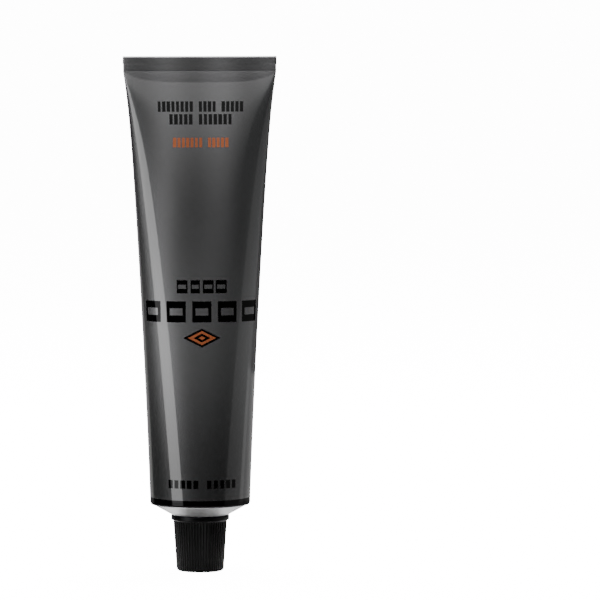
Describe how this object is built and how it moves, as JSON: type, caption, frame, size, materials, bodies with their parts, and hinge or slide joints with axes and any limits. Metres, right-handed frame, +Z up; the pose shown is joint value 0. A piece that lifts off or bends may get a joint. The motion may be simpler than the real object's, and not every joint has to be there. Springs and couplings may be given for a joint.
{
  "type": "shaving cream tube",
  "caption": "Collapsible aluminium shaving cream tube with a folded flat end, standing on its black fluted screw cap.",
  "frame": {"origin": "centre of the cap's closed end, where the part rests on z = 0", "axes": "+Z up along the tube's axis, +X along the flattened end, -Y out of the printed front"},
  "size_m": [0.0538, 0.035, 0.18],
  "materials": {
    "enamelled_aluminium": "anthracite enamel over thin aluminium, bare at the shoulder and nozzle",
    "cap_plastic": "black moulded plastic, semi-matte",
    "liner_foam": "white polyethylene foam",
    "foil": "thin bare foil",
    "latex_compound": "dull dried sealing compound",
    "cream": "soft white cream, modelled as a rigid filling"
  },
  "bodies": {
    "tube": {"tube_body": "enamelled_aluminium", "end_seal_band": "latex_compound", "cream_fill": "cream", "orifice_foil_seal": "foil"},
    "liner": {"cap_liner": "liner_foam"},
    "screw_cap": {"cap": "cap_plastic"}
  },
  "joints": [
    {"name": "cap_lift", "type": "slide", "parent": "tube", "child": "liner", "axis": [0, 0, -1], "range_m": [0, 0.01]},
    {"name": "cap_turn", "type": "hinge", "parent": "liner", "child": "screw_cap", "pos_m": [0, 0, 0], "axis": [0, 0, -1], "range_deg": [0, 1800]}
  ],
  "couplings": [
    {"joint": "cap_lift", "follows": "cap_turn", "m_per_rad": 0.00031831}
  ]
}
